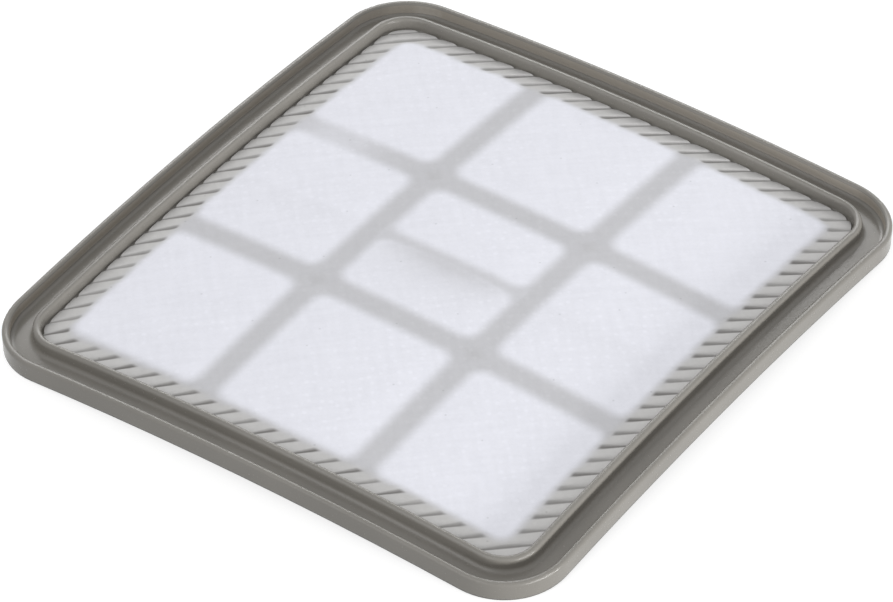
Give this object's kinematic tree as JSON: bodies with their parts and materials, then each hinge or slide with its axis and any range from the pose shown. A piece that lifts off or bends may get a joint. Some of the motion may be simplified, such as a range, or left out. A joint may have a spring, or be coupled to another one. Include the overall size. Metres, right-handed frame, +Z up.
{
  "type": "vacuum exhaust filter",
  "caption": "Nearly square, gently domed exhaust filter for a vacuum cleaner: a moulded frame with a rim channel and a grid of bars, and a white nonwoven sheet welded over it.",
  "frame": {"origin": "middle of the plan, on the surface that the four corners stand on", "axes": "+Z up, out of the side with the medium; +Y along the longer sides; +X along the shorter sides"},
  "size_m": [0.12, 0.1288, 0.0064],
  "materials": {
    "frame_plastic": "warm grey moulded plastic, satin, with rounded edges",
    "nonwoven_medium": "white bonded nonwoven, matt, with slanted weld marks round its border"
  },
  "bodies": {
    "root": {"frame": "frame_plastic", "filter_medium": "nonwoven_medium"}
  },
  "joints": []
}
